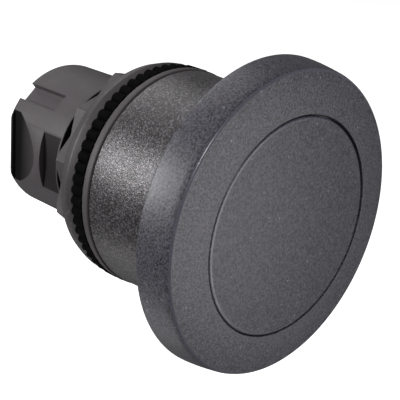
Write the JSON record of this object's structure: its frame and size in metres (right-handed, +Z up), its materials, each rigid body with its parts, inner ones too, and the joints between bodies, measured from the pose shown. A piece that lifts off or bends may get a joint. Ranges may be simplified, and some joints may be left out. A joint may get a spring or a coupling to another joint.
{
  "type": "industrial push button",
  "caption": "panel-mount momentary push button operator with a wide mushroom head, tapered bezel, lobed panel gasket, twelve-point mounting nut and threaded barrel",
  "frame": {"origin": "on the button's axis, in the plane where the gasket meets the panel's front face", "axes": "+Y along the button's axis from the head to the barrel's rear end, +Z up on an upright panel, +X to the right seen from the front"},
  "size_m": [0.04, 0.0441, 0.04],
  "materials": {
    "head_plastic": "fine-grained moulded dark grey plastic",
    "disc_plastic": "smooth satin dark grey plastic",
    "bezel_plastic": "dark grey plastic with fine metallic flecks",
    "body_plastic": "satin glass-filled dark grey plastic",
    "nut_plastic": "satin glass-filled grey plastic",
    "black_rubber": "matte black sealing rubber",
    "nylon": "natural nylon",
    "zinc_steel": "zinc-plated steel",
    "spring_steel": "spring steel"
  },
  "bodies": {
    "housing": {"barrel_housing": "body_plastic", "bezel": "bezel_plastic", "bezel_o_ring": "black_rubber", "wiper_seal": "black_rubber", "seal_retainer": "body_plastic", "guide_bush": "nylon", "panel_gasket": "black_rubber", "bump_washer": "black_rubber", "return_spring": "spring_steel"},
    "head": {"mushroom_head": "head_plastic", "head_disc": "disc_plastic", "head_screw": "zinc_steel", "screw_washer": "zinc_steel", "plunger": "nylon", "retaining_clip": "spring_steel", "rear_pusher": "nylon"},
    "washer": {"thrust_washer": "zinc_steel"},
    "nut": {"mounting_nut": "nut_plastic"}
  },
  "joints": [
    {"name": "press", "type": "slide", "parent": "housing", "child": "head", "axis": [0, 1, 0], "range_m": [0, 0.004], "stiffness_N_per_m": 1200, "springref_m": -0.004, "deforming": ["return_spring"]},
    {"name": "nut_slide", "type": "slide", "parent": "housing", "child": "washer", "axis": [0, 1, 0], "range_m": [0, 0.0045]},
    {"name": "nut_spin", "type": "hinge", "parent": "washer", "child": "nut", "pos_m": [0, 0, 0], "axis": [0, 1, 0], "range_deg": [0, 1080]}
  ],
  "couplings": [
    {"joint": "nut_slide", "follows": "nut_spin", "m_per_rad": 0.0002387}
  ]
}
